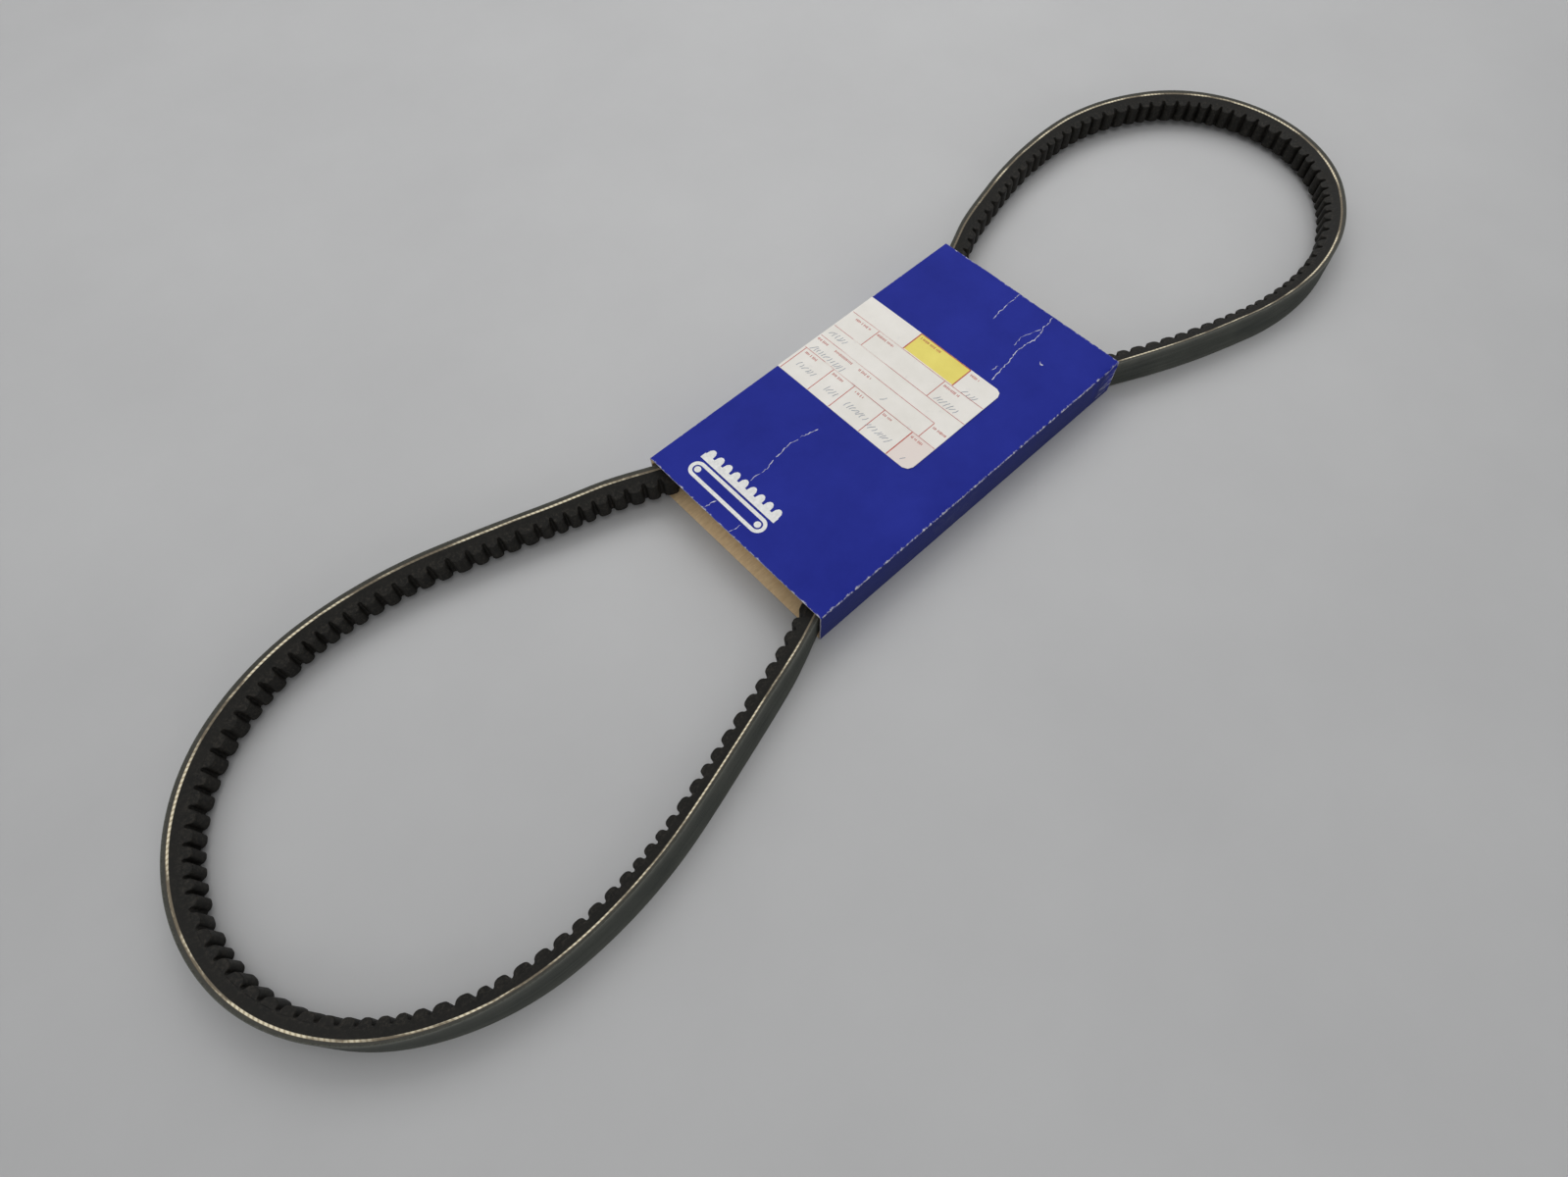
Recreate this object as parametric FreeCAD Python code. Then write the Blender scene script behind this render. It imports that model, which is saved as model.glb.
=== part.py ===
import FreeCAD, Part
import math
import os

# A raw-edge cogged V-belt, lying on its side as a long loop, held at its waist by a folded card sleeve.
# Frame: millimetres, +Z up, +X along the sleeve towards the small loop, +Y towards the sleeve's far wall.
# The origin is the middle of the sleeve's underside, on the surface that it rests on.

Vector = FreeCAD.Vector
UP = Vector(0, 0, 1)

# ---- Driving dimensions -------------------------------------------------------------------------

BELT_WIDTH = 13.0           # across the belt's flat back
BELT_HEIGHT = 8.0           # from the back to the crests of the cogs
FLANK_ANGLE = 18.0          # each raw side leans in by this much towards the cogs
CLOTH_DEPTH = 0.6           # back cloth: from the back down to this depth
CUSHION_DEPTH = 1.35        # cushion rubber: from the cloth down to this depth
CORD_DEPTH = 2.15           # cord layer: from the cushion down to this depth
NOTCH_DEPTH = 5.3           # floor of the notches, measured from the back
NOTCH_FLOOR_RADIUS = 0.7
NOTCH_HALF_WIDTH = 0.9      # half the notch's width, where the cog's rounding starts
CUT_MARGIN = 1.0            # the notches' cutting shapes stand clear of the belt by this much
COG_ROUNDING = 1.9          # largest radius on a cog's two crest edges
COG_FLAT = 0.3              # least flat left on a cog's crest
COG_PITCHES = (7.2, 6.2, 6.8, 6.5, 6.2, 5.4, 5.7, 5.3, 5.9, 7.0, 6.8, 5.6, 6.3, 7.4, 7.0)

SLEEVE_LENGTH = 161.0
SLEEVE_WIDTH = 91.0
SLEEVE_HEIGHT = 16.8
CARD = 0.45                 # thickness of the folded card
GLUE_FLAP_WIDTH = 13.0
GLUE_FLAP_TAPER = 6.0       # the flap's ends slope in by this much
GLUE_FLAP_SETBACK = 1.5     # the flap is this much shorter than the sleeve at each end
FOLD_RADIUS = 0.4           # outside radius of the card's folded edges
LABEL_START = -16.5         # the paper label's two ends, along the sleeve
LABEL_END = 36.0
LABEL_REACH = -24.5         # how far the label comes across the top panel
LABEL_DROP = 9.0            # how far it folds down the far wall
LABEL_THICKNESS = 0.12
LABEL_CORNER = 3.0

BELT_CLEARANCE = 0.15       # between the belt's lower edge and the sleeve's floor
MOUTH_HALF_WIDTH = 43.8     # from the middle to the belt's back, at the sleeve's two mouths
FLARE = 22.0                # the strands leave the mouths at this angle to the sleeve
JOINT_GAP = 0.8             # the lengths of belt stand this far apart at each bend line
BEND_DEPTH = 2.65           # the bend lines lie half way from the back to the notches' floors
SHORTEST_PIECE = 0.001      # a shorter stretch of an arc is left out
SAME_PLACE = 1e-6           # two distances this close are the same place
SAME_EDGE = 0.01            # an edge this close to a fold line lies on it

# Each half of a loop is four arcs that meet smoothly, from the sleeve's mouth to the tip of the loop.
# The first three arcs' turns are given in degrees, and the last arc makes up the rest. The first two
# arcs' radii are given, and the other two follow from where the tip is.
BIG_TIP = (-287.3, 3.2)
BIG_TURNS = {"near": (7.0, 18.0, 30.7), "far": (6.0, 17.0, 24.7)}
BIG_RADII = {"near": (640.0, 166.0), "far": (800.0, 160.6)}
SMALL_TIP = (257.7, -2.9)
SMALL_TURNS = {"near": (2.0, 15.0, 44.7), "far": (1.5, 21.0, 34.4)}
SMALL_RADII = {"near": (2000.0, 76.4), "far": (1100.0, 195.9)}

# Bend lines, as lengths along the back from the sleeve's mouth. Each one moves to the nearest notch.
BIG_BENDS = (11.0, 108.0, 186.0)
SMALL_BENDS = (11.0, 84.0, 160.0)

# ---- The belt's path ----------------------------------------------------------------------------

BELT_FLOOR = CARD + BELT_CLEARANCE
MOUTH_X = SLEEVE_LENGTH / 2
LAYERS = {
    "back_cloth": (0.0, CLOTH_DEPTH),
    "cushion_rubber": (CLOTH_DEPTH, CUSHION_DEPTH),
    "tension_cords": (CUSHION_DEPTH, CORD_DEPTH),
    "cogged_rubber": (CORD_DEPTH, BELT_HEIGHT),
}


class Bow:
    """One arc of the belt's back, seen from above. The path runs with the loop's inside on its left.
    side is 1 where the arc's centre is on the inside of the loop, and -1 where it is outside."""

    def __init__(self, centre, radius, start_heading, turn):
        self.centre = centre
        self.radius = radius
        self.side = 1 if turn > 0 else -1
        self.start_heading = start_heading
        self.turn = turn
        self.length = radius * abs(math.radians(turn))

    def heading_at(self, distance):
        return self.start_heading + self.side * math.degrees(distance / self.radius)

    def point_at(self, distance, depth=0.0):
        """The point this far along the arc and this deep in the belt, on the ground plane."""
        angle = math.radians(self.heading_at(distance))
        reach = self.side * self.radius - depth
        return self.centre + Vector(math.sin(angle), -math.cos(angle), 0) * reach


def bow_from(start, heading, radius, turn):
    """The arc that leaves start in the direction heading and turns by turn degrees, left if positive."""
    side = 1 if turn > 0 else -1
    angle = math.radians(heading)
    centre = start + Vector(-math.sin(angle), math.cos(angle), 0) * (radius * side)
    return Bow(centre, radius, heading, turn)


def chord(start_heading, end_heading):
    """How far an arc of radius 1 that turns left between two headings carries the path."""
    a = math.radians(start_heading)
    b = math.radians(end_heading)
    return Vector(math.sin(b) - math.sin(a), math.cos(a) - math.cos(b), 0)


def quarter(start, heading, tip, turns, radii):
    """Four left-turning arcs from a mouth to a tip. turns are the first three, and radii the first two."""
    total = 90.0 + FLARE
    all_turns = list(turns) + [total - sum(turns)]
    headings = [heading]
    for turn in all_turns:
        headings.append(headings[-1] + turn)
    steps = [chord(a, b) for a, b in zip(headings, headings[1:])]
    rest = tip - start - steps[0] * radii[0] - steps[1] * radii[1]
    spread = steps[2].x * steps[3].y - steps[2].y * steps[3].x
    third = (rest.x * steps[3].y - rest.y * steps[3].x) / spread
    fourth = (steps[2].x * rest.y - steps[2].y * rest.x) / spread
    bows = []
    here = start
    for radius, first, turn, step in zip(radii + (third, fourth), headings, all_turns, steps):
        bows.append(bow_from(here, first, radius, turn))
        here = here + step * radius
    return bows


def turned_back(bows):
    """The same arcs run the other way round the loop, mirrored across the sleeve's long middle line."""
    result = []
    for bow in reversed(bows):
        centre = Vector(bow.centre.x, -bow.centre.y, 0)
        start_heading = 180.0 - bow.start_heading - bow.turn
        result.append(Bow(centre, bow.radius, start_heading, bow.turn))
    return result


def near_quarter(tip, turns, radii):
    """From the near strand's small-loop end to the tip, for a loop on the +X side."""
    start = Vector(MOUTH_X, -MOUTH_HALF_WIDTH, 0)
    return quarter(start, -FLARE, Vector(tip[0], tip[1], 0), turns, radii)


def far_quarter(tip, turns, radii):
    """From the tip to the far strand, for a loop on the +X side."""
    return turned_back(near_quarter((tip[0], -tip[1]), turns, radii))


def half_turned(bows):
    """The same arcs turned by half a turn about the sleeve's middle, which makes a loop on the -X side."""
    return [Bow(bow.centre * -1, bow.radius, bow.start_heading + 180.0, bow.turn) for bow in bows]


def strand(heading):
    """The arc through the sleeve, where the two strands bow towards each other."""
    radius = MOUTH_X / math.sin(math.radians(FLARE))
    start = Vector(-MOUTH_X, -MOUTH_HALF_WIDTH, 0) if heading < 90 else Vector(MOUTH_X, MOUTH_HALF_WIDTH, 0)
    return [bow_from(start, heading, radius, -2 * FLARE)]


BIG_TIP_TURNED = (-BIG_TIP[0], -BIG_TIP[1])
PATHS = {
    "near_strand": strand(FLARE),
    "small_near": near_quarter(SMALL_TIP, SMALL_TURNS["near"], SMALL_RADII["near"]),
    "small_far": far_quarter(SMALL_TIP, SMALL_TURNS["far"], SMALL_RADII["far"]),
    "far_strand": strand(180.0 + FLARE),
    "big_far": half_turned(near_quarter(BIG_TIP_TURNED, BIG_TURNS["far"], BIG_RADII["far"])),
    "big_near": half_turned(far_quarter(BIG_TIP_TURNED, BIG_TURNS["near"], BIG_RADII["near"])),
}
RUN = ("near_strand", "small_near", "small_far", "far_strand", "big_far", "big_near")


def length_of(bows):
    return sum(bow.length for bow in bows)


STARTS = {}
ROUND = []                  # every arc of the loop in order, with the distance at which it starts
total_length = 0.0
for part_name in RUN:
    STARTS[part_name] = total_length
    for next_bow in PATHS[part_name]:
        ROUND.append((total_length, next_bow))
        total_length += next_bow.length
BELT_LENGTH = total_length


def locate(distance):
    """The arc at this distance round the loop, and how far along that arc it is."""
    wrapped = distance % BELT_LENGTH
    for start, bow in reversed(ROUND):
        if wrapped >= start - SAME_PLACE:
            return bow, wrapped - start
    return ROUND[0][1], 0.0


def place(distance, depth=0.0):
    bow, along = locate(distance)
    return bow.point_at(along, depth)


def heading(distance):
    bow, along = locate(distance)
    return bow.heading_at(along)


# ---- Cogs and bend lines ------------------------------------------------------------------------

def notches_round_the_loop():
    """Distances of every notch. The uneven pitch repeats, eased so that each part ends on a notch."""
    mean_pitch = sum(COG_PITCHES) / len(COG_PITCHES)
    result = []
    turn_of = 0
    for name in RUN:
        span = length_of(PATHS[name])
        count = round(span / mean_pitch)
        pitches = [COG_PITCHES[(turn_of + k) % len(COG_PITCHES)] for k in range(count)]
        turn_of += count
        ease = span / sum(pitches)
        distance = STARTS[name]
        for pitch in pitches:
            result.append(distance)
            distance += pitch * ease
    return result


NOTCHES = notches_round_the_loop()


def nearest_notch(distance):
    return min(NOTCHES, key=lambda notch: abs(notch - distance))


def bends(name, lengths, forwards):
    """Bend lines on one side of a loop, counted outwards from the sleeve's mouth."""
    start = STARTS[name]
    end = start + length_of(PATHS[name])
    return [nearest_notch(start + s if forwards else end - s) for s in lengths]


BENDS = {
    "small_near": bends("small_near", SMALL_BENDS, True),
    "small_far": bends("small_far", SMALL_BENDS, False),
    "big_far": bends("big_far", BIG_BENDS, True),
    "big_near": bends("big_near", BIG_BENDS, False),
}

# Each length of belt runs from one bend line to the next, in the order of the path.
LENGTHS = {
    "near_strand": (BENDS["big_near"][0] - BELT_LENGTH, BENDS["small_near"][0]),
    "small_loop_near_shoulder": (BENDS["small_near"][0], BENDS["small_near"][1]),
    "small_loop_near_side": (BENDS["small_near"][1], BENDS["small_near"][2]),
    "small_loop_tip": (BENDS["small_near"][2], BENDS["small_far"][2]),
    "small_loop_far_side": (BENDS["small_far"][2], BENDS["small_far"][1]),
    "small_loop_far_shoulder": (BENDS["small_far"][1], BENDS["small_far"][0]),
    "far_strand": (BENDS["small_far"][0], BENDS["big_far"][0]),
    "big_loop_far_shoulder": (BENDS["big_far"][0], BENDS["big_far"][1]),
    "big_loop_far_side": (BENDS["big_far"][1], BENDS["big_far"][2]),
    "big_loop_tip": (BENDS["big_far"][2], BENDS["big_near"][2]),
    "big_loop_near_side": (BENDS["big_near"][2], BENDS["big_near"][1]),
    "big_loop_near_shoulder": (BENDS["big_near"][1], BENDS["big_near"][0]),
}

# ---- Belt solids --------------------------------------------------------------------------------

def arc_pieces(start, end):
    """The stretches of single arcs that make up the path from start to end, in order."""
    pieces = []
    for lap in (-1, 0, 1):
        for bow_start, bow in ROUND:
            offset = bow_start + lap * BELT_LENGTH
            first = max(start - offset, 0.0)
            last = min(end - offset, bow.length)
            if last - first > SHORTEST_PIECE:
                pieces.append((bow, first, last))
    return pieces


def ring_piece(bow, start, end, shallow, deep):
    """One layer of the belt along one arc, turned about the arc's upright axis."""
    lean = math.tan(math.radians(FLANK_ANGLE))
    corners = []
    for depth, top in ((shallow, False), (deep, False), (deep, True), (shallow, True)):
        foot = bow.point_at(start, depth)
        inset = depth * lean
        height = BELT_FLOOR + (BELT_WIDTH - inset if top else inset)
        corners.append(Vector(foot.x, foot.y, height))
    face = Part.Face(Part.makePolygon(corners + corners[:1]))
    swept = bow.side * math.degrees((end - start) / bow.radius)
    return face.revolve(bow.centre, UP, swept)


def band(start, end, shallow, deep):
    """One layer of the belt along the path, of one or more arcs."""
    pieces = [ring_piece(bow, a, b, shallow, deep) for bow, a, b in arc_pieces(start, end)]
    solid = pieces[0]
    if len(pieces) > 1:
        solid = pieces[0].fuse(pieces[1:])
    return solid


def crest_rounding(distance, next_notch):
    """The rounding of the cog between two notches, which a tight curve makes smaller."""
    bow, _ = locate(distance + SAME_PLACE)
    squeeze = (bow.radius - bow.side * BELT_HEIGHT) / bow.radius
    cog = (next_notch - distance) * squeeze - 2 * NOTCH_HALF_WIDTH
    return min(COG_ROUNDING, (cog - COG_FLAT) / 2)


def notch_cutter(distance, round_before, round_after):
    """An upright prism with the shape of one notch and of the roundings of the cogs beside it."""
    origin = place(distance)
    angle = math.radians(heading(distance))
    along = Vector(math.cos(angle), math.sin(angle), 0)
    inwards = Vector(-along.y, along.x, 0)

    def at(u, depth):
        flat = origin + along * u + inwards * depth
        return Vector(flat.x, flat.y, BELT_FLOOR - CUT_MARGIN)

    floor_end = NOTCH_DEPTH + NOTCH_FLOOR_RADIUS
    past_crest = BELT_HEIGHT + CUT_MARGIN
    bulge = math.sqrt(0.5)
    left = -NOTCH_HALF_WIDTH
    right = NOTCH_HALF_WIDTH
    edges = [
        Part.LineSegment(at(left - round_before, past_crest), at(left - round_before, BELT_HEIGHT)),
        Part.Arc(at(left - round_before, BELT_HEIGHT),
                 at(left - round_before * (1 - bulge), BELT_HEIGHT - round_before * (1 - bulge)),
                 at(left, BELT_HEIGHT - round_before)),
        Part.LineSegment(at(left, BELT_HEIGHT - round_before), at(-NOTCH_FLOOR_RADIUS, floor_end)),
        Part.Arc(at(-NOTCH_FLOOR_RADIUS, floor_end), at(0, NOTCH_DEPTH), at(NOTCH_FLOOR_RADIUS, floor_end)),
        Part.LineSegment(at(NOTCH_FLOOR_RADIUS, floor_end), at(right, BELT_HEIGHT - round_after)),
        Part.Arc(at(right, BELT_HEIGHT - round_after),
                 at(right + round_after * (1 - bulge), BELT_HEIGHT - round_after * (1 - bulge)),
                 at(right + round_after, BELT_HEIGHT)),
        Part.LineSegment(at(right + round_after, BELT_HEIGHT), at(right + round_after, past_crest)),
        Part.LineSegment(at(right + round_after, past_crest), at(left - round_before, past_crest)),
    ]
    outline = Part.Wire([edge.toShape() for edge in edges])
    return Part.Face(outline).extrude(UP * (BELT_WIDTH + 2 * CUT_MARGIN))


def cutters_between(start, end):
    """The notches from start to end, both ends' notches included."""
    found = []
    count = len(NOTCHES)
    for lap in (-1, 0, 1):
        for k, notch in enumerate(NOTCHES):
            distance = notch + lap * BELT_LENGTH
            if start - SAME_PLACE < distance < end + SAME_PLACE:
                before = NOTCHES[k - 1] - (BELT_LENGTH if k == 0 else 0)
                after = NOTCHES[(k + 1) % count] + (BELT_LENGTH if k == count - 1 else 0)
                round_before = crest_rounding(before, notch)
                round_after = crest_rounding(notch, after)
                found.append(notch_cutter(notch, round_before, round_after))
    return found


def belt_length(name):
    """The four bonded layers of one length of belt."""
    start = LENGTHS[name][0] + JOINT_GAP / 2
    end = LENGTHS[name][1] - JOINT_GAP / 2
    solids = {}
    for layer, (shallow, deep) in LAYERS.items():
        solids[layer] = band(start, end, shallow, deep)
    solids["cogged_rubber"] = solids["cogged_rubber"].cut(cutters_between(*LENGTHS[name]))
    return solids


# ---- Card sleeve and label ----------------------------------------------------------------------

def card_box(x_size, y_low, y_high, z_low, z_high):
    return Part.makeBox(x_size, y_high - y_low, z_high - z_low, Vector(-x_size / 2, y_low, z_low))


def rounded_long_edges(solid, height):
    """Rounds the long outer edges at this height, where the card is folded."""
    edges = []
    for edge in solid.Edges:
        box = edge.BoundBox
        along_x = box.XLength > SLEEVE_LENGTH / 2
        outer = abs(abs(box.Center.y) - SLEEVE_WIDTH / 2) < SAME_EDGE
        if along_x and outer and abs(box.Center.z - height) < SAME_EDGE:
            edges.append(edge)
    return solid.makeFillet(FOLD_RADIUS, edges)


def sleeve_panels():
    """The folded card blank: two panels, two walls and the flap that closes it."""
    half = SLEEVE_WIDTH / 2
    roof = SLEEVE_HEIGHT - CARD
    top = card_box(SLEEVE_LENGTH, -half, half, roof, SLEEVE_HEIGHT)
    bottom = card_box(SLEEVE_LENGTH, -half, half, 0, CARD)
    return {
        "sleeve_top_panel": rounded_long_edges(top, SLEEVE_HEIGHT),
        "sleeve_bottom_panel": rounded_long_edges(bottom, 0),
        "sleeve_near_wall": card_box(SLEEVE_LENGTH, -half, CARD - half, CARD, roof),
        "sleeve_far_wall": card_box(SLEEVE_LENGTH, half - CARD, half, CARD, roof),
    }


def glue_flap():
    """A tapered flap, folded in from the far wall and glued to the underside of the top panel."""
    root = SLEEVE_WIDTH / 2 - CARD
    tip = root - GLUE_FLAP_WIDTH
    z = SLEEVE_HEIGHT - 2 * CARD
    long_half = SLEEVE_LENGTH / 2 - GLUE_FLAP_SETBACK
    short_half = long_half - GLUE_FLAP_TAPER
    corners = [
        Vector(-long_half, root, z),
        Vector(-short_half, tip, z),
        Vector(short_half, tip, z),
        Vector(long_half, root, z),
    ]
    return Part.Face(Part.makePolygon(corners + corners[:1])).extrude(UP * CARD)


def paper_label():
    """A printed paper label, stuck across the top panel and folded down over the far wall."""
    half = SLEEVE_WIDTH / 2
    length = LABEL_END - LABEL_START
    outer = half + LABEL_THICKNESS
    above = SLEEVE_HEIGHT + LABEL_THICKNESS
    corner = Vector(LABEL_START, LABEL_REACH, SLEEVE_HEIGHT)
    face = Part.makeBox(length, outer - LABEL_REACH, LABEL_THICKNESS, corner)
    corner_edges = [edge for edge in face.Edges
                    if edge.BoundBox.ZLength > LABEL_THICKNESS / 2 and edge.BoundBox.Center.y < 0]
    face = face.makeFillet(LABEL_CORNER, corner_edges)
    drop_foot = SLEEVE_HEIGHT - LABEL_DROP
    drop = Part.makeBox(length, LABEL_THICKNESS, above - drop_foot, Vector(LABEL_START, half, drop_foot))
    return face.fuse(drop).removeSplitter()


# ---- Writing the parts --------------------------------------------------------------------------

def write(name, shape):
    solids = shape.Solids
    solid = solids[0] if len(solids) == 1 else Part.makeCompound(solids)
    solid.exportStep(os.path.join("parts", name + ".step"))


os.makedirs("parts", exist_ok=True)
for length_name in LENGTHS:
    for layer_name, layer_solid in belt_length(length_name).items():
        write(length_name + "_" + layer_name, layer_solid)
for panel_name, panel in sleeve_panels().items():
    write(panel_name, panel)
write("sleeve_glue_flap", glue_flap())
write("paper_label", paper_label())

print("outside length of the belt", round(BELT_LENGTH, 1), "and number of cogs", len(NOTCHES))
for part_name in RUN:
    print(part_name, "radii", [round(bow.radius, 1) for bow in PATHS[part_name]])
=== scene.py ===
import math
import random

import bmesh
import bpy
import numpy as np
from mathutils import Matrix, Vector


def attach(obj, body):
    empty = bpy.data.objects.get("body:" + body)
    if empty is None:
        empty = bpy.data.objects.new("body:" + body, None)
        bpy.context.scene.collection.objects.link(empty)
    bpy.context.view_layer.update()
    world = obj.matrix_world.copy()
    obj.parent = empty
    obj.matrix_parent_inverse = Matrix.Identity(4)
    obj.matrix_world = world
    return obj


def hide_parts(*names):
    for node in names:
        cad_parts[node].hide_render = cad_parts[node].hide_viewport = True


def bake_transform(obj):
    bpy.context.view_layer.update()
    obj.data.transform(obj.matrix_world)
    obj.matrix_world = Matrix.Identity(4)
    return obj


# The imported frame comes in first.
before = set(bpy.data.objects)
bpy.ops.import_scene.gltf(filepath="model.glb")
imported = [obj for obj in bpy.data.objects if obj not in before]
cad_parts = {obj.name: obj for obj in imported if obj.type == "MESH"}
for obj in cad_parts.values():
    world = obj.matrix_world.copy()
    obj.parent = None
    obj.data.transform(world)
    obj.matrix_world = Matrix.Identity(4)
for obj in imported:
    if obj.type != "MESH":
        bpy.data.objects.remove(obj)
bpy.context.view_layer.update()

# ---- Belt: the line that it lies along ----------------------------------------------------------
# The belt is one endless band that lies on its side as a long loop, pinched at the waist by a card sleeve.
# Seen from above, its back follows arcs that meet smoothly. Everything is in metres, as in the CAD part.
MM = 0.001
MOUTH = np.array((80.5, 43.8)) * MM          # half the sleeve's length, and the belt's back at its mouths
FLARE = 22.0                                 # the belt leaves the mouths at this angle to the sleeve
BIG_TIP = (-287.3, 3.2)
SMALL_TIP = (257.7, -2.9)
COG_PITCHES = (7.2, 6.2, 6.8, 6.5, 6.2, 5.4, 5.7, 5.3, 5.9, 7.0, 6.8, 5.6, 6.3, 7.4, 7.0)


def quarter(tip, turns, radii):
    """Four arcs from the sleeve's mouth to a loop's tip. The last two radii follow from where the tip is."""
    turns = [*turns, 90 + FLARE - sum(turns)]
    headings = np.radians(np.cumsum([-FLARE, *turns]))
    steps = np.stack([np.diff(np.sin(headings)), -np.diff(np.cos(headings))], 1)
    here = MOUTH * (1, -1)
    radii = list(np.array(radii) * MM)
    rest = np.array(tip) * MM - here - steps[0] * radii[0] - steps[1] * radii[1]
    radii += list(np.linalg.solve(steps[2:].T, rest))
    arcs = []
    for radius, start, turn, step in zip(radii, headings, np.radians(turns), steps):
        centre = here + radius * np.array((-math.sin(start), math.cos(start)))
        arcs.append((centre, radius, 1, start, radius * turn))
        here = here + step * radius
    return arcs


def mirrored(arcs):
    """The same arcs across the sleeve's long middle line, run the other way."""
    flipped = []
    for centre, radius, side, start, length in reversed(arcs):
        flipped.append((centre * (1, -1), radius, side, math.pi - start - length / radius, length))
    return flipped


def half_turned(arcs):
    """The same arcs turned about the sleeve's middle, for the loop at the other end."""
    return [(-centre, radius, side, start + math.pi, length) for centre, radius, side, start, length in arcs]


def strand(sign, start):
    """The one arc through the sleeve, which bows towards the other strand."""
    radius = MOUTH[0] / math.sin(math.radians(FLARE))
    centre = -sign * MOUTH + radius * np.array((math.sin(start), -math.cos(start)))
    return [(centre, radius, -1, start, 2 * radius * math.radians(FLARE))]


lean = math.radians(FLARE)
PATHS = {
    "near_strand": strand(1, lean),
    "small_near": quarter(SMALL_TIP, (2, 15, 44.7), (2000, 76.4)),
    "small_far": mirrored(quarter((SMALL_TIP[0], -SMALL_TIP[1]), (1.5, 21, 34.4), (1100, 195.9))),
    "far_strand": strand(-1, math.pi + lean),
    "big_far": half_turned(quarter((-BIG_TIP[0], -BIG_TIP[1]), (6, 17, 24.7), (800, 160.6))),
    "big_near": half_turned(mirrored(quarter((-BIG_TIP[0], BIG_TIP[1]), (7, 18, 30.7), (640, 166)))),
}
ARCS = [arc for arcs in PATHS.values() for arc in arcs]
CENTRES = np.array([arc[0] for arc in ARCS])
RADII, SIDES, HEADINGS, ARC_LENGTHS = (np.array([arc[k] for arc in ARCS]) for k in (1, 2, 3, 4))
ARC_STARTS = np.cumsum([0, *ARC_LENGTHS[:-1]])
BELT_LENGTH = ARC_LENGTHS.sum()


def on_belt(run, depth):
    """The points on the ground at these distances round the belt and these depths under its back."""
    run = np.asarray(run, float) % BELT_LENGTH
    arc = np.searchsorted(ARC_STARTS, run, side="right") - 1
    angle = HEADINGS[arc] + SIDES[arc] * (run - ARC_STARTS[arc]) / RADII[arc]
    reach = SIDES[arc] * RADII[arc] - depth
    return CENTRES[arc] + np.stack([np.sin(angle), -np.cos(angle)], -1) * np.expand_dims(reach, -1)


NOTCHES = []
PATH_STARTS = {}
path_start = 0.0
for path_name, arcs in PATHS.items():
    PATH_STARTS[path_name] = path_start
    span = sum(arc[4] for arc in arcs)
    count = round(span / (np.mean(COG_PITCHES) * MM))
    pitches = np.array([COG_PITCHES[(len(NOTCHES) + k) % len(COG_PITCHES)] for k in range(count)])
    NOTCHES += list(path_start + np.cumsum([0, *pitches[:-1]]) * span / pitches.sum())
    path_start += span
NOTCHES = np.array(NOTCHES)


def nearest_notch(run):
    """The notch nearest this distance. Distances may run past the belt's end or be under zero."""
    laps = np.concatenate([NOTCHES - BELT_LENGTH, NOTCHES, NOTCHES + BELT_LENGTH])
    return laps[np.abs(laps - run).argmin()]


# ---- Belt: the lengths that it is made in -------------------------------------------------------
# The real belt bends everywhere. Here each length covers one bend line of the frame and runs on unbroken
# from one body to the next. A length ends half way along a body, or at the open bend of a loop.
SMALL_BENDS = (11, 84, 160)
BIG_BENDS = (11, 108, 186)


def bend_lines(path_name, distances, outwards):
    """The notches at these distances, in millimetres, from the mouth of the sleeve."""
    start = PATH_STARTS[path_name]
    end = start + sum(arc[4] for arc in PATHS[path_name])
    return [nearest_notch(start + s * MM if outwards else end - s * MM) for s in distances]


near_small = bend_lines("small_near", SMALL_BENDS, True)
far_small = bend_lines("small_far", SMALL_BENDS, False)
far_big = bend_lines("big_far", BIG_BENDS, True)
near_big = bend_lines("big_near", BIG_BENDS, False)
near_middle = nearest_notch(near_small[0] / 2 + (near_big[0] - BELT_LENGTH) / 2)
far_middle = nearest_notch((far_small[0] + far_big[0]) / 2)


def middle(a, b):
    return nearest_notch((a + b) / 2)


# Each length: name, start, end, the body at its start, the body at its end, the bend between them and
# how far the bend spreads to each side, in metres. A length that rides on one body has no bend.
SHORT_BEND = 12 * MM
LONG_BEND = 28 * MM
LENGTHS = []
for loop, near, far, near_mid, far_mid in (
    ("small_loop", near_small, far_small, near_middle, far_middle),
    ("big_loop", near_big, far_big, near_middle + BELT_LENGTH, far_middle),
):
    shoulder, side, tip = loop + "_near_shoulder", loop + "_near_side", loop + "_tip"
    far_side, far_shoulder = loop + "_far_side", loop + "_far_shoulder"
    marks = [near_mid, middle(near[0], near[1]), middle(near[1], near[2]), middle(near[2], far[2]), far[2],
             middle(far[1], far[2]), middle(far[0], far[1]), far_mid]
    bends = [near[0], near[1], near[2], None, None, far[1], far[0]]
    spreads = [SHORT_BEND, LONG_BEND, LONG_BEND, 0, 0, LONG_BEND, SHORT_BEND]
    labels = ["near_waist", "near_shoulder", "near_side", "tip", "far_side_start", "far_side", "far_waist"]
    bodies_before = ["belt_waist", shoulder, side, tip, far_side, far_side, far_shoulder]
    bodies_after = [shoulder, side, tip, tip, far_side, far_shoulder, "belt_waist"]
    for k in range(7):
        first = (marks[k], bodies_before[k])
        last = (marks[k + 1], bodies_after[k])
        if loop == "big_loop":
            first, last = last, first
        LENGTHS.append((loop + "_" + labels[k], first[0], last[0], first[1], last[1], bends[k], spreads[k]))


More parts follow.
